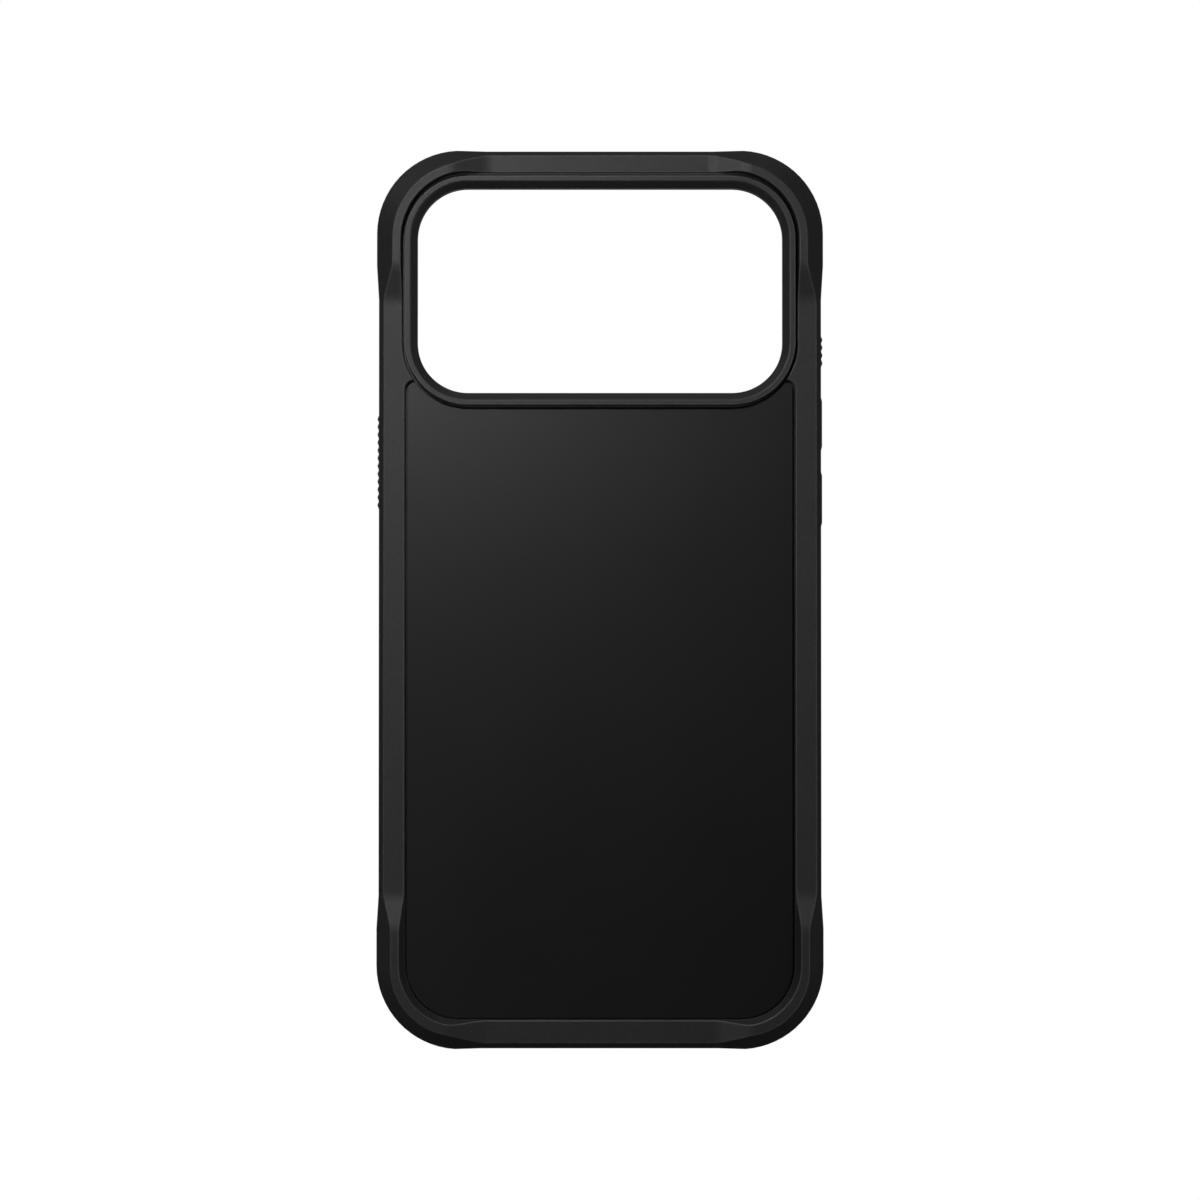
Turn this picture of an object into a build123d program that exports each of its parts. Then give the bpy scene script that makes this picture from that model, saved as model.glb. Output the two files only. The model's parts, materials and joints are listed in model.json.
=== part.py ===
"""Rugged two-layer phone case with a raised camera bezel and separate side buttons.

The case lies with its back up: +Z points out of the back, +Y towards the camera end, and +X to the
right as the back is seen. The origin is the plan centre on the front lip, where the case rests.
"""

import os

from build123d import *

# ---- Driving dimensions, in millimetres ------------------------------------------------------

# The phone that the case fits.
phone_width = 78.0
phone_length = 163.4
phone_thickness = 8.75
phone_corner_radius = 12.35
phone_clearance = 0.15

# Layers of the back, from the screen side outwards.
front_lip = 1.2
lining_thickness = 0.3
shell_floor = 1.1
adhesive_thickness = 0.1
plate_thickness = 0.9

# Walls of the sides, and how far the sheets inside stop short of what surrounds them.
shell_wall = 1.0
shell_edge_radius = 2.0
shell_inner_radius = 1.2
shell_neck_gap = 0.05
lining_margin = 1.4
lining_opening_margin = 1.2
adhesive_margin = 0.8
bumper_wall = 1.4
lip_overlap = 1.15

# Outer form of the bumper. The blank is taller than its rim, and cuts overrun what they cut.
side_bulge = 0.4
end_bulge = 0.2
outer_corner_radius = 15.7
chamfer_start = 12.0
straight_rim = 13.3
bottom_corner_rim = 14.7
top_corner_rim = 15.0
blank_margin = 0.6
cut_overrun = 0.5

# How far the outline draws in for each millimetre of height above the chamfer's start.
side_draw = 1.0
top_draw = 0.8
bottom_draw = 0.95
top_corner_draw = 0.48
bottom_corner_draw = 1.18
front_edge_radius = 1.0
ramp_rounding = 8.0
rim_edge_radius = 0.22
flattest_wall = 0.9

# Where each straight meets the ramps up to the corners: half-lengths (end of flat, foot of corner).
side_ramp_top = (56.3, 62.7)
side_ramp_bottom = (55.7, 61.8)
top_ramp = (21.3, 27.5)
bottom_ramp = (22.3, 28.3)

# Camera opening and the bezel round it.
opening_width = 68.6
opening_height = 38.5
opening_radius = 9.5
opening_centre = 58.0
bezel_top = 14.1
bezel_slope = 1.35
bezel_slope_depth = 1.35
bezel_inner_edge_radius = 0.4
bezel_edge_height = 0.5
bezel_neck_wall = 0.95
bezel_side_gap = 0.35
bezel_head_gap = 0.04
bezel_edge_radius = 0.1

# The bezel's outline at its foot and round its flat: half-width, head, foot and corner radius.
bezel_base = (36.75, 80.1, 36.1, 12.1)
bezel_flat = (36.72, 79.5, 36.55, 11.9)

# Back plate.
plate_half_width = 36.25
plate_bottom = -78.7
plate_top = 40.8
plate_bottom_radius = 9.75
plate_ear_radius = 1.4
plate_gap = 0.35
plate_foot_gap = 0.15
plate_edge_radius = 0.1
recess_wall_top = 13.0
recess_flare = 0.67
pocket_wall_top = 12.95
pocket_flare = 0.17

# Magnets and tag between the shell and the plate.
magnet_centre = -8.0
magnet_outer_radius = 27.0
magnet_inner_radius = 23.0
magnet_count = 18
magnet_gap = 0.4
magnet_thickness = 0.55
carrier_thickness = 0.05
magnet_pocket_depth = 0.75
magnet_pocket_margin = 0.3
carrier_margin = 0.2
bar_width = 6.8
bar_length = 19.0
bar_top = -40.0
tag_outer_radius = 21.5
tag_inner_radius = 17.5
tag_pocket_depth = 0.5
tag_pocket_margin = 0.2
antenna_edge = 0.4
substrate_thickness = 0.15
antenna_thickness = 0.1
antenna_turns = 3
antenna_trace = 0.5
antenna_pitch = 0.9
chip_size = 1.8
chip_thickness = 0.25
chip_radius = 18.1

# Side buttons.
button_height = 3.2
button_clearance = 0.08
button_travel = 0.3
spare_travel = 0.03
flange_margin = 0.7
flange_thickness = 0.4
flange_play = 0.02
window_wall = 0.5
plunger_height = 2.0
plunger_end_margin = 3.0
plunger_stand_off = 0.4
plunger_window_gap = 0.3
gasket_inset = 0.1
rib_peak = 0.47
rib_valley = 0.2
rib_pitch = 1.48
rib_rounding = 0.12
smooth_proud = 0.37
smooth_ramp = 1.6

# Openings in the sides.
port_width = 13.0
port_height = 6.6
speaker_length = 12.0
speaker_height = 3.2
speaker_offset = 18.5
touch_slot_centre = -20.0
touch_slot_length = 24.0
touch_slot_height = 4.8

# Slots in the bottom end: distance across, length, height.
end_slots = [
    (0, port_width, port_height),
    (-speaker_offset, speaker_length, speaker_height),
    (speaker_offset, speaker_length, speaker_height),
]

# ---- Derived levels and sizes ----------------------------------------------------------------

cavity_width = phone_width + 2 * phone_clearance
cavity_length = phone_length + 2 * phone_clearance
cavity_radius = phone_corner_radius + phone_clearance
lining_bottom = front_lip + phone_thickness
shell_inside = lining_bottom + lining_thickness
shell_top = shell_inside + shell_floor
plate_bottom_level = shell_top + adhesive_thickness
plate_level = plate_bottom_level + plate_thickness

shell_width = cavity_width + 2 * shell_wall
shell_length = cavity_length + 2 * shell_wall
shell_radius = cavity_radius + shell_wall
straight_width = shell_width + 2 * bumper_wall
straight_length = shell_length + 2 * bumper_wall
corner_width = straight_width + 2 * side_bulge
corner_length = straight_length + 2 * end_bulge
blank_top = top_corner_rim + blank_margin

screen_width = cavity_width - 2 * lip_overlap
screen_length = cavity_length - 2 * lip_overlap
screen_radius = cavity_radius - lip_overlap

side_centre = front_lip + phone_thickness / 2
side_face = straight_width / 2
shell_face = shell_width / 2
bar_centre = bar_top - bar_length / 2

recess_half_width = plate_half_width + plate_gap
recess_bottom = plate_bottom - plate_foot_gap
recess_top = plate_top + plate_gap

os.makedirs("parts", exist_ok=True)


# ---- Outlines used by more than one piece ----------------------------------------------------


def opening_outline(grow):
    """The camera opening, grown all round by the given distance."""
    with BuildSketch() as outline:
        with Locations((0, opening_centre)):
            RectangleRounded(
                opening_width + 2 * grow, opening_height + 2 * grow, opening_radius + grow
            )
    return outline.sketch


def bezel_outline(form, grow, head_grow):
    """One of the bezel's outlines, grown by one distance all round and by another at its head."""
    half_width, head, foot, radius = form
    top = head + head_grow
    bottom = foot - grow
    with BuildSketch() as outline:
        with Locations((0, (top + bottom) / 2)):
            RectangleRounded(2 * (half_width + grow), top - bottom, radius + grow)
    return outline.sketch


def bezel_pocket_outline(grow):
    """The pocket for the bezel in the bumper, grown all round by the given distance."""
    return bezel_outline(bezel_base, bezel_side_gap + grow, bezel_head_gap + grow)


def bumper_outline(rise):
    """The bumper's outer outline, drawn in as it is at the given rise above the chamfer's start."""
    half_width = corner_width / 2 - side_draw * rise
    top = corner_length / 2 - top_draw * rise
    bottom = bottom_draw * rise - corner_length / 2
    with BuildSketch() as outline:
        with Locations((0, (top + bottom) / 2)):
            Rectangle(2 * half_width, top - bottom)
        low_corners = outline.vertices().group_by(Axis.Y)[0]
        fillet(low_corners, outer_corner_radius - bottom_corner_draw * rise)
        high_corners = outline.vertices().group_by(Axis.Y)[-1]
        fillet(high_corners, outer_corner_radius - top_corner_draw * rise)
    return outline.sketch


def shell_blank():
    """The outer form of the stiff shell, which the bumper is moulded round."""
    with BuildPart() as blank:
        with BuildSketch(Plane.XY.offset(front_lip)):
            RectangleRounded(shell_width, shell_length, shell_radius)
        extrude(amount=shell_top - front_lip)
        fillet(blank.faces().sort_by(Axis.Z)[-1].edges(), shell_edge_radius)
    return blank.part


def phone_hollow():
    """The hollow of the shell, rounded where its walls meet the floor."""
    with BuildPart() as hollow:
        with BuildSketch(Plane.XY.offset(front_lip)):
            RectangleRounded(cavity_width, cavity_length, cavity_radius)
        extrude(amount=shell_inside - front_lip)
        fillet(hollow.faces().sort_by(Axis.Z)[-1].edges(), shell_inner_radius)
    return hollow.part


def recess_outline(inset, foot_inset):
    """The recess for the back plate, drawn in by one distance all round and another at its foot."""
    half_width = recess_half_width - inset
    bottom = recess_bottom + foot_inset
    top = recess_top - inset
    with BuildSketch() as outline:
        with Locations((0, (top + bottom) / 2)):
            Rectangle(2 * half_width, top - bottom)
        fillet(outline.vertices().group_by(Axis.Y)[0], plate_bottom_radius + plate_gap - inset)
        fillet(outline.vertices().group_by(Axis.Y)[-1], plate_ear_radius + plate_gap - inset)
    return outline.sketch


def slot_outline(length, height):
    """A round-ended slot in the side wall, long way along the wall."""
    with BuildSketch() as outline:
        SlotOverall(length, height)
    return outline.sketch


def side_plane(side, distance, along):
    """A plane facing out of a side wall, with its x direction along the wall."""
    return Plane(origin=(side * distance, along, side_centre), x_dir=(0, 1, 0), z_dir=(side, 0, 0))


def end_plane(distance, across):
    """A plane facing out of the bottom end, with its x direction across the case."""
    return Plane(origin=(across, -distance, side_centre), x_dir=(1, 0, 0), z_dir=(0, -1, 0))


# ---- The four buttons ------------------------------------------------------------------------

# name, side (-1 left, +1 right as the back is seen), centre along the side, length, ribs
buttons = [
    ("power_button", -1, 26.0, 17.9, 12),
    ("action_button", 1, 46.9, 6.0, 4),
    ("volume_up_button", 1, 33.2, 11.7, 0),
    ("volume_down_button", 1, 19.0, 12.0, 0),
]

flange_outer_face = side_face - window_wall - flange_play
flange_inner_face = flange_outer_face - flange_thickness
gasket_thickness = flange_inner_face - shell_face - button_travel - spare_travel


def flange_outline(length, grow):
    """The flange behind a cap, grown all round by the given distance."""
    reach = 2 * (flange_margin + grow)
    return slot_outline(length + reach, button_height + reach)


def plunger_outline(length, grow):
    """The plunger behind a cap, grown all round by the given distance."""
    return slot_outline(length - plunger_end_margin + 2 * grow, plunger_height + 2 * grow)


def plan_plane(side, centre):
    """A level plane through a button, with x along the wall and y out of it."""
    return Plane(origin=(0, centre, side_centre), x_dir=(0, 1, 0), z_dir=(0, 0, -side))


def ribbed_profile(ribs):
    """Half-plan of a ribbed cap: a zigzag of ridges between the flange and the open air."""
    start = -ribs * rib_pitch / 2
    with BuildSketch() as profile:
        with BuildLine():
            points = [(start, flange_inner_face), (start, side_face + rib_valley)]
            for rib in range(ribs):
                points.append((start + (rib + 0.5) * rib_pitch, side_face + rib_peak))
                points.append((start + (rib + 1) * rib_pitch, side_face + rib_valley))
            points.append((-start, flange_inner_face))
            Polyline(points, close=True)
        make_face()
        ridges = [v for v in profile.vertices() if v.Y > side_face]
        fillet(ridges, rib_rounding)
    return profile.sketch


def smooth_profile(length):
    """Half-plan of a smooth cap: a flat face that ramps down to the wall at both ends."""
    half = length / 2
    with BuildSketch() as profile:
        with BuildLine():
            Polyline(
                (-half, flange_inner_face),
                (-half, side_face),
                (-half + smooth_ramp, side_face + smooth_proud),
                (half - smooth_ramp, side_face + smooth_proud),
                (half, side_face),
                (half, flange_inner_face),
                close=True,
            )
        make_face()
    return profile.sketch


# ---- Bumper: the soft outer frame --------------------------------------------------------------


def above_rim(bottom_ends, top_ends, bottom_rim, top_rim):
    """All that lies above the rim, seen along it: low over the straight, ramped up at both ends."""
    reach = corner_length
    bottom_flat, bottom_foot = bottom_ends
    top_flat, top_foot = top_ends
    with BuildSketch() as profile:
        with BuildLine():
            Polyline(
                (-reach, bottom_rim),
                (-bottom_foot, bottom_rim),
                (-bottom_flat, straight_rim),
                (top_flat, straight_rim),
                (top_foot, top_rim),
                (reach, top_rim),
                (reach, blank_top + cut_overrun),
                (-reach, blank_top + cut_overrun),
                close=True,
            )
        make_face()
        bends = [v for v in profile.vertices() if abs(v.X) < reach / 2]
        fillet(bends, ramp_rounding)
    return profile.sketch


def beside_straight(ends_low, ends_high, face, depth):
    """The thin slice shaved off a straight side between two proud corners."""
    low_flat, low_foot = ends_low
    high_flat, high_foot = ends_high
    with BuildSketch() as profile:
        with BuildLine():
            Polyline(
                (-low_foot, face + depth),
                (-low_flat, face),
                (high_flat, face),
                (high_foot, face + depth),
                close=True,
            )
        make_face()
    return profile.sketch


def rim_edges(frame):
    """The edges round the rim, outer and inner: those that belong to one rim face only."""
    rim_faces = [
        face
        for face in frame.faces()
        if face.normal_at().Z > flattest_wall and face.center().Z > pocket_wall_top
    ]
    edges = [edge for face in rim_faces for edge in face.edges()]
    return [edge for edge in edges if sum(edge.is_same(other) for other in edges) == 1]


with BuildPart() as bumper:
    # Upright sides, drawn in above the chamfer's start.
    with BuildSketch():
        add(bumper_outline(0))
    extrude(amount=chamfer_start)
    with BuildSketch(Plane.XY.offset(chamfer_start)):
        add(bumper_outline(0))
    with BuildSketch(Plane.XY.offset(blank_top)):
        add(bumper_outline(blank_top - chamfer_start))
    loft(ruled=True)
    fillet(bumper.faces().sort_by(Axis.Z)[0].edges(), front_edge_radius)

    # Straight sides and ends are shaved a little flatter than the corners.
    for side in (-1, 1):
        with BuildSketch(Plane(origin=(0, 0, 0), x_dir=(0, 1, 0), z_dir=(0, 0, -side))):
            add(beside_straight(side_ramp_bottom, side_ramp_top, straight_width / 2, side_bulge))
        extrude(amount=2 * blank_top, both=True, mode=Mode.SUBTRACT)
    for end, ramp in ((-1, bottom_ramp), (1, top_ramp)):
        with BuildSketch(Plane(origin=(0, 0, 0), x_dir=(1, 0, 0), z_dir=(0, 0, end))):
            add(beside_straight(ramp, ramp, straight_length / 2, end_bulge))
        extrude(amount=2 * blank_top, both=True, mode=Mode.SUBTRACT)

    # Rim: low over the straights, ramping up to the corners.
    with BuildSketch(Plane.YZ):
        add(above_rim(side_ramp_bottom, side_ramp_top, bottom_corner_rim, top_corner_rim))
    extrude(amount=corner_width, both=True, mode=Mode.SUBTRACT)
    for end, ramp, rim in ((-1, bottom_ramp, bottom_corner_rim), (1, top_ramp, top_corner_rim)):
        with BuildSketch(Plane.XZ):
            add(above_rim(ramp, ramp, rim, rim))
        extrude(amount=-end * corner_length, mode=Mode.SUBTRACT)

    # Room for the stiff shell and the phone, and the window over the screen.
    add(shell_blank(), mode=Mode.SUBTRACT)
    with BuildSketch():
        RectangleRounded(screen_width, screen_length, screen_radius)
    extrude(amount=front_lip, mode=Mode.SUBTRACT)

    # Recess for the back plate: an upright foot, then a wall that flares out to the rim.
    recess_spread = recess_flare * (blank_top - recess_wall_top)
    with BuildSketch(Plane.XY.offset(shell_top)):
        add(recess_outline(0, 0))
    extrude(amount=recess_wall_top - shell_top, mode=Mode.SUBTRACT)
    with BuildSketch(Plane.XY.offset(recess_wall_top)):
        add(recess_outline(0, 0))
    with BuildSketch(Plane.XY.offset(blank_top)):
        add(recess_outline(-recess_spread, -recess_spread))
    loft(ruled=True, mode=Mode.SUBTRACT)

    # Pocket for the camera bezel: upright, then flared towards the high corners.
    with BuildSketch(Plane.XY.offset(shell_top)):
        add(bezel_pocket_outline(0))
    extrude(amount=pocket_wall_top - shell_top, mode=Mode.SUBTRACT)
    with BuildSketch(Plane.XY.offset(pocket_wall_top)):
        add(bezel_pocket_outline(0))
    with BuildSketch(Plane.XY.offset(blank_top)):
        add(bezel_pocket_outline(pocket_flare * (blank_top - pocket_wall_top)))
    loft(ruled=True, mode=Mode.SUBTRACT)

    # Moulded edges are never sharp.
    fillet(rim_edges(bumper), rim_edge_radius)

    # Windows for the buttons: a pocket for each flange, opening into a hole for its cap.
    for name, side, centre, length, ribs in buttons:
        with BuildSketch(side_plane(side, shell_face - cut_overrun, centre)):
            add(flange_outline(length, button_clearance))
        extrude(amount=side_face - window_wall - shell_face + cut_overrun, mode=Mode.SUBTRACT)
        with BuildSketch(side_plane(side, shell_face, centre)):
            add(slot_outline(length + 2 * button_clearance, button_height + 2 * button_clearance))
        extrude(amount=2 * bumper_wall, mode=Mode.SUBTRACT)

    # Cut-outs for the touch slot, the charging port and the speakers.
    with BuildSketch(side_plane(-1, shell_face - cut_overrun, touch_slot_centre)):
        add(slot_outline(touch_slot_length, touch_slot_height))
    extrude(amount=2 * bumper_wall + cut_overrun, mode=Mode.SUBTRACT)
    for across, length, height in end_slots:
        with BuildSketch(end_plane(shell_length / 2 - cut_overrun, across)):
            add(slot_outline(length, height))
        extrude(amount=2 * bumper_wall + cut_overrun, mode=Mode.SUBTRACT)

bumper.part.label = "bumper"
export_step(bumper.part, "parts/bumper.step")


# ---- Stiff shell -------------------------------------------------------------------------------

with BuildPart() as inner_shell:
    add(shell_blank())

    add(phone_hollow(), mode=Mode.SUBTRACT)

    # Hole for the neck of the camera bezel.
    with BuildSketch(Plane.XY.offset(shell_inside - cut_overrun)):
        add(opening_outline(bezel_neck_wall + shell_neck_gap))
    extrude(amount=shell_floor + 2 * cut_overrun, mode=Mode.SUBTRACT)

    # Pockets in the outer face for the magnet ring, the alignment bar and the tag.
    with BuildSketch(Plane(origin=(0, magnet_centre, shell_top))):
        Circle(magnet_outer_radius + magnet_pocket_margin)
        Circle(magnet_inner_radius - magnet_pocket_margin, mode=Mode.SUBTRACT)
        with Locations((0, bar_centre - magnet_centre)):
            Rectangle(bar_width + 2 * magnet_pocket_margin, bar_length + 2 * magnet_pocket_margin)
    extrude(amount=-magnet_pocket_depth, mode=Mode.SUBTRACT)
    with BuildSketch(Plane(origin=(0, magnet_centre, shell_top))):
        Circle(tag_outer_radius + tag_pocket_margin)
        Circle(tag_inner_radius - tag_pocket_margin, mode=Mode.SUBTRACT)
    extrude(amount=-tag_pocket_depth, mode=Mode.SUBTRACT)

    # Windows for the plungers, the touch slot, the charging port and the speakers.
    for name, side, centre, length, ribs in buttons:
        with BuildSketch(side_plane(side, shell_face - 2 * shell_wall, centre)):
            add(plunger_outline(length, plunger_window_gap))
        extrude(amount=3 * shell_wall, mode=Mode.SUBTRACT)
    with BuildSketch(side_plane(-1, shell_face - 2 * shell_wall, touch_slot_centre)):
        add(slot_outline(touch_slot_length, touch_slot_height))
    extrude(amount=3 * shell_wall, mode=Mode.SUBTRACT)
    for across, length, height in end_slots:
        with BuildSketch(end_plane(shell_length / 2 - 2 * shell_wall, across)):
            add(slot_outline(length, height))
        extrude(amount=3 * shell_wall, mode=Mode.SUBTRACT)

inner_shell.part.label = "inner_shell"
export_step(inner_shell.part, "parts/inner_shell.step")


# ---- Microfibre lining that the phone's back lies on ---------------------------------------------

with BuildPart() as inner_lining:
    with BuildSketch(Plane.XY.offset(lining_bottom)):
        RectangleRounded(
            cavity_width - 2 * lining_margin,
            cavity_length - 2 * lining_margin,
            cavity_radius - lining_margin,
        )
        add(opening_outline(lining_opening_margin), mode=Mode.SUBTRACT)
    extrude(amount=lining_thickness)

inner_lining.part.label = "inner_lining"
export_step(inner_lining.part, "parts/inner_lining.step")


# ---- Camera bezel --------------------------------------------------------------------------------

with BuildPart() as camera_bezel:
    # Neck through the shell, flange on top of it, and an outer wall that tapers to the flat.
    with BuildSketch(Plane.XY.offset(lining_bottom)):
        add(opening_outline(bezel_neck_wall))
    extrude(amount=shell_top - lining_bottom)
    with BuildSketch(Plane.XY.offset(shell_top)):
        add(bezel_outline(bezel_base, 0, 0))
    extrude(amount=bezel_top - bezel_edge_height - shell_top)
    with BuildSketch(Plane.XY.offset(bezel_top - bezel_edge_height)):
        add(bezel_outline(bezel_base, 0, 0))
    with BuildSketch(Plane.XY.offset(bezel_top)):
        add(bezel_outline(bezel_flat, 0, 0))
    loft(ruled=True)

    # Opening, upright through the shell and flared at the back.
    with BuildSketch(Plane.XY.offset(lining_bottom)):
        add(opening_outline(0))
    extrude(amount=bezel_top - lining_bottom, mode=Mode.SUBTRACT)
    with BuildSketch(Plane.XY.offset(bezel_top - bezel_slope_depth)):
        add(opening_outline(0))
    with BuildSketch(Plane.XY.offset(bezel_top)):
        add(opening_outline(bezel_slope))
    loft(ruled=True, mode=Mode.SUBTRACT)

    flat = camera_bezel.faces().sort_by(Axis.Z)[-1]
    fillet(flat.inner_wires()[0].edges(), bezel_inner_edge_radius)
    flat = camera_bezel.faces().sort_by(Axis.Z)[-1]
    fillet(flat.outer_wire().edges(), bezel_edge_radius)

camera_bezel.part.label = "camera_bezel"
export_step(camera_bezel.part, "parts/camera_bezel.step")


# ---- Back plate and the film that bonds it -------------------------------------------------------

with BuildPart() as back_plate:
    with BuildSketch(Plane.XY.offset(plate_bottom_level)):
        add(recess_outline(plate_gap, plate_foot_gap))
        add(bezel_outline(bezel_base, plate_gap, plate_gap), mode=Mode.SUBTRACT)
    extrude(amount=plate_thickness)
    fillet(back_plate.faces().sort_by(Axis.Z)[-1].edges(), plate_edge_radius)

back_plate.part.label = "back_plate"
export_step(back_plate.part, "parts/back_plate.step")

film_gap = plate_gap + adhesive_margin

with BuildPart() as plate_adhesive:
    with BuildSketch(Plane.XY.offset(shell_top)):
        add(recess_outline(film_gap, plate_foot_gap + adhesive_margin))
        add(bezel_outline(bezel_base, film_gap, film_gap), mode=Mode.SUBTRACT)
    extrude(amount=adhesive_thickness)

plate_adhesive.part.label = "plate_adhesive"
export_step(plate_adhesive.part, "parts/plate_adhesive.step")


# ---- Magnets for a wireless charger --------------------------------------------------------------

pocket_floor = shell_top - magnet_pocket_depth

with BuildPart() as magnet_carrier:
    with BuildSketch(Plane(origin=(0, magnet_centre, pocket_floor))):
        Circle(magnet_outer_radius + carrier_margin)
        Circle(magnet_inner_radius - carrier_margin, mode=Mode.SUBTRACT)
    extrude(amount=carrier_thickness)

magnet_carrier.part.label = "magnet_carrier"
export_step(magnet_carrier.part, "parts/magnet_carrier.step")

with BuildPart() as magnet_ring:
    with BuildSketch(Plane(origin=(0, magnet_centre, pocket_floor + carrier_thickness))):
        Circle(magnet_outer_radius)
        Circle(magnet_inner_radius, mode=Mode.SUBTRACT)
        with PolarLocations((magnet_outer_radius + magnet_inner_radius) / 2, magnet_count):
            Rectangle(2 * (magnet_outer_radius - magnet_inner_radius), magnet_gap, mode=Mode.SUBTRACT)
    extrude(amount=magnet_thickness)

magnet_ring.part.label = "magnet_ring"
export_step(magnet_ring.part, "parts/magnet_ring.step")

with BuildPart() as alignment_magnets:
    with BuildSketch(Plane(origin=(0, bar_centre, pocket_floor))):
        with GridLocations(0, (bar_length + magnet_gap) / 2, 1, 2):
            Rectangle(bar_width, (bar_length - magnet_gap) / 2)
    extrude(amount=magnet_thickness)

alignment_magnets.part.label = "alignment_magnets"
export_step(alignment_magnets.part, "parts/alignment_magnets.step")


# ---- Tag inside the magnet ring --------------------------------------------------------------------

tag_floor = shell_top - tag_pocket_depth
tag_face = tag_floor + substrate_thickness

with BuildPart() as nfc_substrate:
    with BuildSketch(Plane(origin=(0, magnet_centre, tag_floor))):
        Circle(tag_outer_radius)
        Circle(tag_inner_radius, mode=Mode.SUBTRACT)
    extrude(amount=substrate_thickness)

nfc_substrate.part.label = "nfc_substrate"
export_step(nfc_substrate.part, "parts/nfc_substrate.step")

with BuildPart() as nfc_antenna:
    for turn in range(antenna_turns):
        with BuildSketch(Plane(origin=(0, magnet_centre, tag_face))):
            outer = tag_outer_radius - antenna_edge - turn * antenna_pitch
            Circle(outer)
            Circle(outer - antenna_trace, mode=Mode.SUBTRACT)
        extrude(amount=antenna_thickness)

nfc_antenna.part.label = "nfc_antenna"
export_step(nfc_antenna.part, "parts/nfc_antenna.step")

with BuildPart() as nfc_chip:
    with BuildSketch(Plane(origin=(0, magnet_centre - chip_radius, tag_face))):
        Rectangle(chip_size, chip_size / 2)
    extrude(amount=chip_thickness)

nfc_chip.part.label = "nfc_chip"
export_step(nfc_chip.part, "parts/nfc_chip.step")


# ---- Caps, plungers and gaskets of the four buttons ------------------------------------------------

for name, side, centre, length, ribs in buttons:
    flange_plane = side_plane(side, flange_inner_face, centre)

    with BuildPart() as cap:
        with BuildSketch(plan_plane(side, centre)):
            if ribs:
                add(ribbed_profile(ribs))
            else:
                add(smooth_profile(length))
        extrude(amount=button_height / 2, both=True)
        with BuildSketch(flange_plane):
            add(slot_outline(length, button_height))
        extrude(amount=2 * bumper_wall, mode=Mode.INTERSECT)
        with BuildSketch(flange_plane):
            add(flange_outline(length, 0))
        extrude(amount=flange_thickness)
    cap.part.label = name + "_cap"
    export_step(cap.part, "parts/" + name + "_cap.step")

    with BuildPart() as plunger:
        with BuildSketch(side_plane(side, cavity_width / 2 + plunger_stand_off, centre)):
            add(plunger_outline(length, 0))
        extrude(amount=flange_inner_face - cavity_width / 2 - plunger_stand_off)
    plunger.part.label = name + "_plunger"
    export_step(plunger.part, "parts/" + name + "_plunger.step")

    with BuildPart() as gasket:
        with BuildSketch(side_plane(side, shell_face, centre)):
            add(flange_outline(length, -gasket_inset))
            add(plunger_outline(length, plunger_window_gap), mode=Mode.SUBTRACT)
        extrude(amount=gasket_thickness)
    gasket.part.label = name + "_gasket"
    export_step(gasket.part, "parts/" + name + "_gasket.step")
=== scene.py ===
"""Looks of the rugged phone case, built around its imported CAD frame.

The case lies on its front lip with its back up. Lengths are metres, in the frame's own axes:
+Y towards the camera end, +X to the right as the back is seen, +Z out of the back.
"""

import json
import math

import bmesh
import bpy
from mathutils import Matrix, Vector, noise


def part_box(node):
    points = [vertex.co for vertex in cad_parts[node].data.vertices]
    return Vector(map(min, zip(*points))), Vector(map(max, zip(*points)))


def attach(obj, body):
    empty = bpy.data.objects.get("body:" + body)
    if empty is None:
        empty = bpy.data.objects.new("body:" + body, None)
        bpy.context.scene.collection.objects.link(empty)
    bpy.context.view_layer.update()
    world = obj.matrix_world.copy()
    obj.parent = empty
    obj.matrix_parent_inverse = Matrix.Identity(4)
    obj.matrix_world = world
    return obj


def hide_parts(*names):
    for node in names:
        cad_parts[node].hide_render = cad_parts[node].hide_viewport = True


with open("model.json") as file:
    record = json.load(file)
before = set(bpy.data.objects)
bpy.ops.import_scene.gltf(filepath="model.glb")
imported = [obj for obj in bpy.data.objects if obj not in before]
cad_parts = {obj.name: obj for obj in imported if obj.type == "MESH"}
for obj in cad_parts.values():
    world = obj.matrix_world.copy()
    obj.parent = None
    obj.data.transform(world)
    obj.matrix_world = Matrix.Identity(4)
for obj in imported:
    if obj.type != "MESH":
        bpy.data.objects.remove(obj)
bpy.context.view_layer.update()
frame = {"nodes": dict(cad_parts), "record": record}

MM = 0.001
nodes = frame["nodes"]

# Cosine of the turn, between a bevel's normal and the true one, at which an edge counts in full.
edge_turn = 0.95


# ---- Shader building -----------------------------------------------------------------------------


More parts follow.
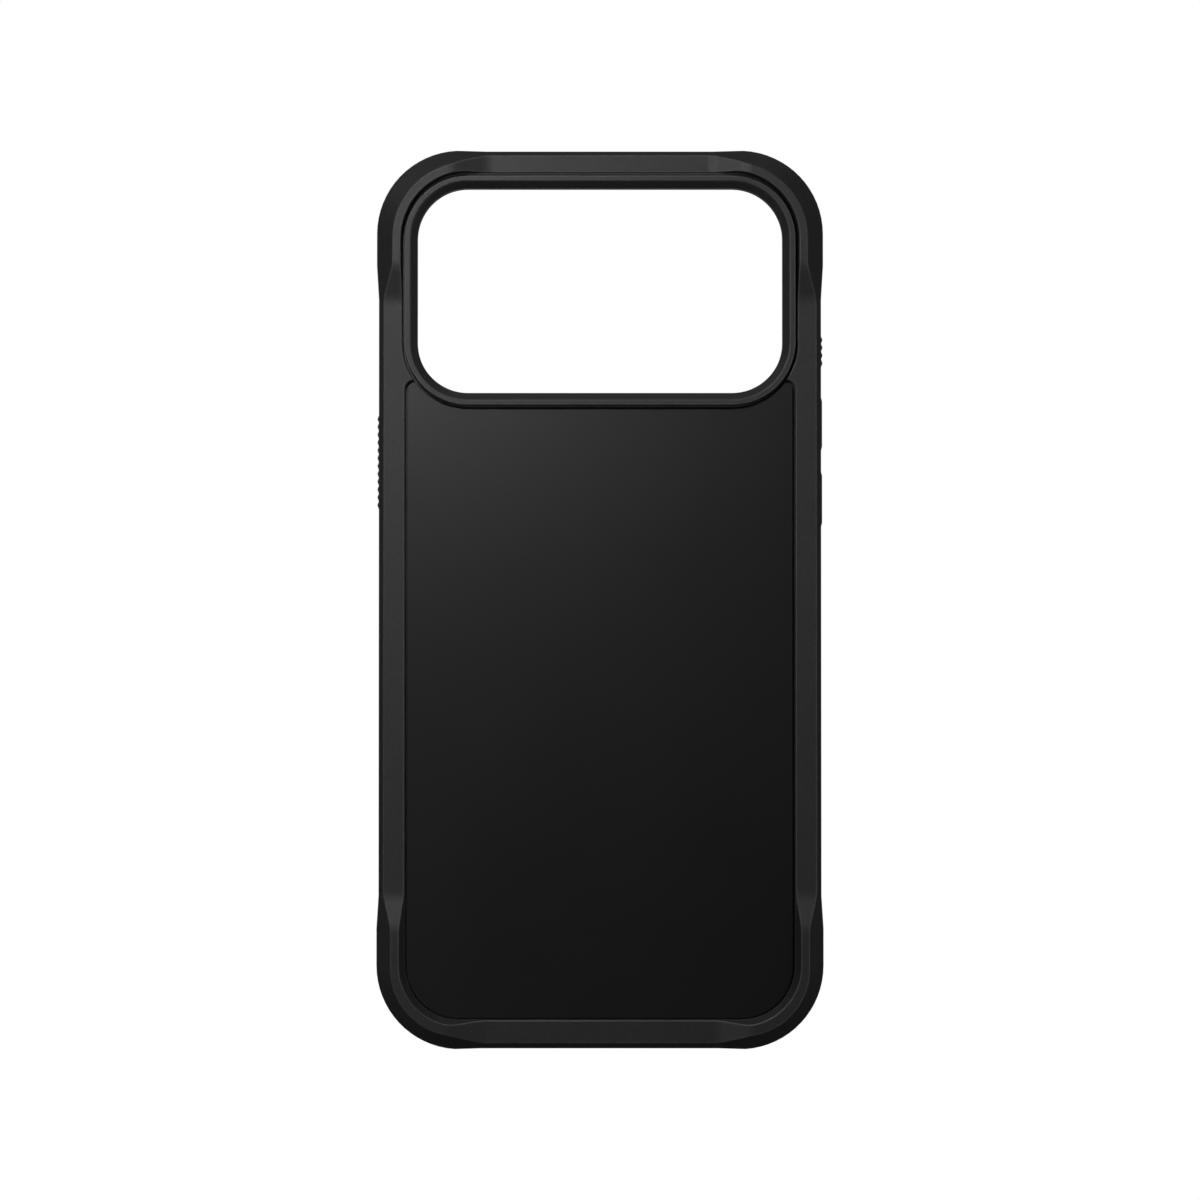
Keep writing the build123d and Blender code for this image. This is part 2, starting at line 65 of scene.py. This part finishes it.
class Shader:
    """A material's node tree, with short calls for the nodes used here."""

    def __init__(self, name):
        self.material = bpy.data.materials.new(name)
        self.material.use_nodes = True
        self.tree = self.material.node_tree
        self.tree.nodes.clear()
        self.output = self.node("ShaderNodeOutputMaterial")
        self.place = self.node("ShaderNodeTexCoord").outputs["Object"]

    def node(self, kind, **settings):
        made = self.tree.nodes.new(kind)
        for key, value in settings.items():
            setattr(made, key, value)
        return made

    def feed(self, socket, value):
        if isinstance(value, bpy.types.NodeSocket):
            self.tree.links.new(value, socket)
        elif socket.type == "VECTOR" and len(value) == 4:
            socket.default_value = value[:3]
        else:
            socket.default_value = value

    def math(self, operation, first, second=0.0, third=0.0):
        made = self.node("ShaderNodeMath", operation=operation)
        for socket, value in zip(made.inputs, (first, second, third)):
            self.feed(socket, value)
        return made.outputs[0]

    def remap(self, value, low, high, to_low, to_high):
        made = self.node("ShaderNodeMapRange", clamp=True)
        for socket, number in zip(made.inputs, (value, low, high, to_low, to_high)):
            self.feed(socket, number)
        return made.outputs[0]

    def noise(self, grain, detail=2.0, roughness=0.5):
        """Noise whose blobs are about one grain across, in metres, from -0.5 to 0.5 around zero."""
        made = self.node("ShaderNodeTexNoise")
        self.feed(made.inputs["Vector"], self.place)
        self.feed(made.inputs["Scale"], 0.5 / grain)
        self.feed(made.inputs["Detail"], detail)
        self.feed(made.inputs["Roughness"], roughness)
        return self.math("SUBTRACT", made.outputs["Fac"], 0.5)

    def mix(self, share, first, second):
        made = self.node("ShaderNodeMix", data_type="RGBA")
        self.feed(made.inputs["Factor"], share)
        self.feed(made.inputs[6], first)
        self.feed(made.inputs[7], second)
        return made.outputs[2]

    def scaled(self, color, shade):
        made = self.node("ShaderNodeVectorMath", operation="SCALE")
        self.feed(made.inputs[0], color)
        self.feed(made.inputs["Scale"], shade)
        return made.outputs[0]

    def edges(self, width):
        """0 on flat ground, rising to 1 on convex edges, from the normal of a bevel this wide."""
        bevel = self.node("ShaderNodeBevel", samples=4)
        self.feed(bevel.inputs["Radius"], width)
        geometry = self.node("ShaderNodeNewGeometry")
        dot = self.node("ShaderNodeVectorMath", operation="DOT_PRODUCT")
        self.feed(dot.inputs[0], bevel.outputs[0])
        self.feed(dot.inputs[1], geometry.outputs["Normal"])
        return self.remap(dot.outputs["Value"], 1.0, edge_turn, 0.0, 1.0)

    def bump(self, height, depth):
        made = self.node("ShaderNodeBump")
        self.feed(made.inputs["Strength"], 1.0)
        self.feed(made.inputs["Distance"], depth)
        self.feed(made.inputs["Height"], height)
        return made.outputs[0]

    def finish(self, color, roughness, normal, **extra):
        surface = self.node("ShaderNodeBsdfPrincipled")
        self.feed(surface.inputs["Base Color"], color)
        self.feed(surface.inputs["Roughness"], roughness)
        self.feed(surface.inputs["Normal"], normal)
        for key, value in extra.items():
            self.feed(surface.inputs[key.replace("_", " ")], value)
        self.tree.links.new(surface.outputs[0], self.output.inputs["Surface"])
        return self.material


def grey(value, tint=0.0):
    """A neutral colour, a little bluer when tint is above zero."""
    return (value, value, value * (1 + tint), 1.0)


# ---- Materials -----------------------------------------------------------------------------------


def elastomer(name, base, rough, grain=0.26 * MM, depth=0.014 * MM):
    """Soft moulded rubber: a fine spark-eroded texture, with a painted highlight along its edges, which
    are also a little less rough, as if polished by handling.
    """
    patch, patch_contrast, patch_roughness = 9 * MM, 0.35, 0.08
    grain_contrast = 1.2
    # The edge mask paints a highlight into the colour, up to edge_gain times the base, and also lowers
    # the roughness there by edge_polish.
    edge_width, edge_share, edge_gain, edge_polish = 0.3 * MM, 0.9, 8, 0.10
    s = Shader(name)
    fine = s.noise(grain, 3.0, 0.6)
    broad = s.noise(patch, 2.0)
    edge_wear_and_highlight = s.edges(edge_width)
    shade = s.math("MULTIPLY_ADD", broad, patch_contrast, 1.0)
    shade = s.math("MULTIPLY_ADD", fine, grain_contrast, shade)
    # Painted highlight: on convex edges the colour is lifted towards edge_gain times the base.
    color = s.mix(s.math("MULTIPLY", edge_wear_and_highlight, edge_share), grey(base), grey(base * edge_gain))
    color = s.scaled(color, shade)
    roughness = s.math("MULTIPLY_ADD", broad, patch_roughness, rough)
    roughness = s.math("MULTIPLY_ADD", edge_wear_and_highlight, -edge_polish, roughness)
    return s.finish(color, roughness, s.bump(fine, depth), Specular_IOR_Level=0.5)


def plastic(name, base, rough, grain=0.10 * MM, depth=0.003 * MM, shine=0.5):
    """Stiff moulded plastic with a soft satin face."""
    patch, patch_contrast, patch_roughness = 14 * MM, 0.25, 0.05
    s = Shader(name)
    fine = s.noise(grain, 2.0, 0.6)
    broad = s.noise(patch, 2.0)
    color = s.scaled(grey(base), s.math("MULTIPLY_ADD", broad, patch_contrast, 1.0))
    roughness = s.math("MULTIPLY_ADD", broad, patch_roughness, rough)
    return s.finish(color, roughness, s.bump(fine, depth), Specular_IOR_Level=shine)


def metal(name, color, rough, grain=0.12 * MM, depth=0.004 * MM, metallic=1.0):
    """Bead-blasted or plated metal, brighter where its edges are rubbed."""
    patch, patch_roughness = 3 * MM, 0.10
    edge_width, edge_share, edge_gain, edge_lift = 0.12 * MM, 0.4, 2.5, 0.03
    s = Shader(name)
    fine = s.noise(grain, 3.0, 0.7)
    broad = s.noise(patch, 2.0)
    edge_wear_and_highlight = s.edges(edge_width)
    bright = tuple(min(1.0, edge_gain * c + edge_lift) for c in color[:3]) + (1.0,)
    tone = s.mix(s.math("MULTIPLY", edge_wear_and_highlight, edge_share), color, bright)
    roughness = s.math("MULTIPLY_ADD", broad, patch_roughness, rough)
    return s.finish(tone, roughness, s.bump(fine, depth), Metallic=metallic)


def film(name, color, rough):
    """Thin polymer film with faint ripples."""
    ripple_width, ripple_contrast, ripple_depth = 4 * MM, 0.3, 0.02 * MM
    haze, haze_roughness = 0.2 * MM, 0.10
    s = Shader(name)
    ripple = s.noise(ripple_width, 2.0)
    fine = s.noise(haze, 2.0)
    color = s.scaled(color, s.math("MULTIPLY_ADD", ripple, ripple_contrast, 1.0))
    roughness = s.math("MULTIPLY_ADD", fine, haze_roughness, rough)
    return s.finish(color, roughness, s.bump(ripple, ripple_depth))


def microfibre(name, base):
    """Short-napped cloth: fuzzy sheen over a fine mottled pile that lies in soft patches."""
    fibre, fibre_contrast, fibre_depth = 0.14 * MM, 0.9, 0.06 * MM
    patch, patch_contrast = 6 * MM, 0.7
    cool_tint = 0.04
    s = Shader(name)
    pile = s.noise(fibre, 4.0, 0.7)
    nap = s.noise(patch, 3.0, 0.6)
    shade = s.math("MULTIPLY_ADD", nap, patch_contrast, 1.0)
    shade = s.math("MULTIPLY_ADD", pile, fibre_contrast, shade)
    return s.finish(
        s.scaled(grey(base, cool_tint), shade),
        roughness=0.95,
        normal=s.bump(pile, fibre_depth),
        Sheen_Weight=0.5,
        Sheen_Roughness=0.4,
        Specular_IOR_Level=0.15,
    )


looks = {
    "bumper_elastomer": elastomer("moulded elastomer", 0.017, 0.50),
    "bezel_polymer": elastomer("moulded bezel", 0.018, 0.48),
    "satin_panel": plastic("satin panel", 0.003, 0.38, shine=0.4),
    "shell_polycarbonate": plastic("moulded shell", 0.016, 0.42),
    "microfibre": microfibre("microfibre lining", 0.030),
    "button_metal": metal("black anodised metal", grey(0.022), 0.42, metallic=0.6),
    "silicone": elastomer("silicone", 0.035, 0.6),
    "gasket_foam": elastomer("gasket foam", 0.030, 0.8, 0.3 * MM, 0.05 * MM),
    "magnet_plating": metal("nickel plating", (0.55, 0.54, 0.50, 1.0), 0.3),
    "tag_copper": metal("copper", (0.80, 0.42, 0.25, 1.0), 0.35),
    "tag_film": film("amber film", (0.42, 0.20, 0.05, 1.0), 0.35),
    "carrier_film": film("carrier film", (0.60, 0.60, 0.58, 1.0), 0.3),
    "bonding_film": film("bonding film", (0.30, 0.30, 0.28, 1.0), 0.3),
    "chip_resin": plastic("chip resin", 0.018, 0.45),
}

for part in frame["record"]["subparts"]:
    node = nodes[part["node"]]
    node.data.materials.clear()
    node.data.materials.append(looks[part["material_slot"]])


# ---- Microfibre lining ---------------------------------------------------------------------------

# Corner radii of the sheet and of its camera opening, and the opening's half-sizes and middle.
sheet_radius = 11.1 * MM
hole_half = (35.5 * MM, 20.45 * MM)
hole_radius = 10.7 * MM
hole_middle = 58.0 * MM

# The grid's pitch, how far it passes the outline it is cut to, and its gap to the sheet's two faces.
weave_step = 0.5 * MM
overhang = 1.0 * MM
skin = 0.005 * MM

# The nap's height, its two sizes of blob and their shares, and the strip that the press has flattened.
nap_height = 0.05 * MM
nap_patch, patch_share = 5.0 * MM, 0.3
tuft, tuft_share = 1.6 * MM, 0.2
pressed_depth = 0.12 * MM
pressed_width = 1.3 * MM

# Faces that meet at more than this angle, in degrees, keep a sharp edge between them.
crease = 40


def past_edge(x, y, half_width, half_length, radius):
    """How far a point lies outside a rounded rectangle round the origin: below zero inside it."""
    dx, dy = abs(x) - half_width + radius, abs(y) - half_length + radius
    return math.hypot(max(dx, 0), max(dy, 0)) + min(max(dx, dy), 0) - radius


def lining_cloth():
    """The lining as napped cloth: an uneven pile that the press has flattened along its edges."""
    low, high = (Vector(corner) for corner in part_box("inner_lining"))
    half = (high - low) / 2
    cells = [math.ceil(2 * side / weave_step) for side in half[:2]]
    shape = bmesh.new()
    bmesh.ops.create_grid(shape, x_segments=cells[0], y_segments=cells[1], size=1.0)
    for vert in shape.verts:
        vert.co = Vector(
            (vert.co.x * (half.x + overhang), vert.co.y * (half.y + overhang), low.z + skin)
        )
    raised = bmesh.ops.extrude_face_region(shape, geom=shape.faces[:])
    for item in raised["geom"]:
        if isinstance(item, bmesh.types.BMVert):
            item.co.z = high.z - skin
    bmesh.ops.recalc_face_normals(shape, faces=shape.faces[:])
    block = bpy.data.meshes.new("lining_block")
    shape.to_mesh(block)
    shape.free()
    cloth = bpy.data.objects.new("lining_cloth", block)
    bpy.context.scene.collection.objects.link(cloth)
    trim = cloth.modifiers.new("trim", "BOOLEAN")
    trim.operation = "INTERSECT"
    trim.solver = "EXACT"
    trim.object = nodes["inner_lining"]
    trimmed = cloth.evaluated_get(bpy.context.evaluated_depsgraph_get())
    cut = bpy.data.meshes.new_from_object(trimmed)
    cloth.modifiers.clear()
    cloth.data = cut
    for vert in cut.vertices:
        x, y, z = vert.co
        if z > low.z + half.z:
            continue
        inside = min(
            -past_edge(x, y, half.x, half.y, sheet_radius),
            past_edge(x, y - hole_middle, *hole_half, hole_radius),
        )
        pressed = max(0.0, 1 - max(inside, 0.0) / pressed_width) ** 2
        patch = patch_share * noise.noise(vert.co / nap_patch)
        nap = 0.5 + patch + tuft_share * noise.noise(vert.co / tuft)
        vert.co.z += nap_height * nap * (1 - pressed) + pressed_depth * pressed
    cut.materials.clear()
    cut.materials.append(looks["microfibre"])
    cut.shade_smooth()
    cut.set_sharp_from_angle(angle=math.radians(crease))
    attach(cloth, "case")
    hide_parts("inner_lining")


lining_cloth()


# ---- Stage ---------------------------------------------------------------------------------------


def softbox(name, place, target, size, power, length=None):
    """An area light at one place, aimed at another: square, or a level strip when given a length."""
    lamp = bpy.data.lights.new(name, "AREA")
    lamp.shape = "RECTANGLE"
    lamp.size = length or size
    lamp.size_y = size
    lamp.energy = power
    lit = bpy.data.objects.new(name, lamp)
    lit.location = place
    lit.rotation_euler = (Vector(target) - Vector(place)).to_track_quat("-Z", "Y").to_euler()
    bpy.context.scene.collection.objects.link(lit)


def around(bearing, tilt, distance):
    """A place seen from the case at a bearing from +X and a tilt from straight above, in degrees."""
    bearing, tilt = math.radians(bearing), math.radians(tilt)
    flat = distance * math.sin(tilt)
    return (flat * math.cos(bearing), flat * math.sin(bearing), distance * math.cos(tilt))


def pale_floor():
    """White from above, clear from below, with a soft contact shadow in views from the side."""
    bpy.ops.mesh.primitive_plane_add(size=floor_size, location=(0, 0, -floor_drop))
    floor = bpy.context.object
    floor.name = "floor"
    s = Shader("pale floor")
    contact = s.node("ShaderNodeAmbientOcclusion", samples=8)
    s.feed(contact.inputs["Distance"], contact_reach)
    geometry = s.node("ShaderNodeNewGeometry")
    split = s.node("ShaderNodeSeparateXYZ")
    s.feed(split.inputs[0], geometry.outputs["Incoming"])
    from_above = s.remap(split.outputs[2], side_look, top_look, 0.0, 1.0)
    shadow = s.mix(contact.outputs["AO"], grey(contact_grey), grey(1.0))
    card = s.node("ShaderNodeEmission")
    s.feed(card.inputs["Color"], s.mix(from_above, shadow, grey(1.0)))
    matt = s.node("ShaderNodeBsdfDiffuse")
    s.feed(matt.inputs["Color"], grey(floor_bounce))
    seen = s.node("ShaderNodeLightPath").outputs["Is Camera Ray"]
    blend = s.node("ShaderNodeMixShader")
    s.feed(blend.inputs[0], seen)
    s.feed(blend.inputs[1], matt.outputs[0])
    s.feed(blend.inputs[2], card.outputs[0])
    from_below = s.node("ShaderNodeMixShader")
    s.feed(from_below.inputs[0], geometry.outputs["Backfacing"])
    s.feed(from_below.inputs[1], blend.outputs[0])
    s.feed(from_below.inputs[2], s.node("ShaderNodeBsdfTransparent").outputs[0])
    s.feed(s.output.inputs["Surface"], from_below.outputs[0])
    floor.data.materials.append(s.material)
    floor.visible_shadow = False


def pale_world():
    """White to the camera, and only a faint fill to everything else."""
    world = bpy.data.worlds.new("studio")
    bpy.context.scene.world = world
    world.use_nodes = True
    sky = world.node_tree
    level = sky.nodes.new("ShaderNodeMapRange")
    level.inputs["To Min"].default_value = sky_fill
    level.inputs["To Max"].default_value = 1.0
    seen = sky.nodes.new("ShaderNodeLightPath").outputs["Is Camera Ray"]
    sky.links.new(seen, level.inputs["Value"])
    sky.links.new(level.outputs[0], sky.nodes["Background"].inputs["Strength"])
    sky.nodes["Background"].inputs["Color"].default_value = grey(1.0)


def photo_camera():
    """A camera above the case, a little towards its foot, aimed at the middle of the case."""
    lens = bpy.data.cameras.new("camera")
    lens.sensor_width = sensor_width
    lens.lens = sensor_width * camera_height / photo_width
    lens.clip_start = 10 * MM
    camera = bpy.data.objects.new("camera", lens)
    camera.location = (0, -camera_offset, camera_height)
    sight = Vector((0, 0, camera_aim)) - camera.location
    camera.rotation_euler = sight.to_track_quat("-Z", "Y").to_euler()
    bpy.context.scene.collection.objects.link(camera)
    bpy.context.scene.camera = camera


# The floor lies just under the case. Its contact shadow reaches this far and is this dark, and shows
# in full up to the first upward share of the sight line and not at all past the second.
floor_size = 6.0
floor_drop = 0.2 * MM
contact_reach = 30 * MM
contact_grey = 0.42
side_look, top_look = 0.90, 0.98
floor_bounce = 0.15
sky_fill = 0.02

# The camera, and how wide a field it takes in at a distance of its own height.
camera_height = 1.2
camera_offset = 0.03
camera_aim = 6 * MM
sensor_width = 36.0
photo_width = 0.22768

# Level strip lights, all one depth and one distance from the case: name, bearing, tilt, power, length.
strip_depth = 0.22
strip_distance = 0.6
strip_target = (0, 0, 0.01)
strips = (
    ("right fill", 0, 44, 0.50, 0.7),
    ("corner strip", 135, 74, 0.20, strip_depth),
    ("left strip", 180, 76, 0.09, 0.9),
    ("right strip", 0, 76, 0.06, 0.9),
    ("head strip", 90, 76, 0.38, 0.6),
    ("left bounce", 180, 112, 0.80, 0.9),
    ("right bounce", 0, 112, 0.40, 0.9),
    ("head bounce", 90, 112, 0.80, 0.6),
    ("foot bounce", 270, 122, 0.30, 0.6),
)

pale_floor()
softbox("key", place=(-0.065, 0.12, 0.29), target=(-0.02, 0.02, 0), size=0.08, power=0.285)
softbox(
    "left fill", place=(-0.21, -0.08, 0.45), target=(0, -0.03, 0.01), size=0.06, power=0.19, length=0.35
)
for name, bearing, tilt, power, length in strips:
    softbox(name, around(bearing, tilt, strip_distance), strip_target, strip_depth, power, length)
softbox("underside", place=(0.1, -0.15, -0.5), target=(0, 0, 0), size=0.4, power=0.9)
pale_world()
photo_camera()
bpy.context.scene.view_settings.view_transform = "Standard"
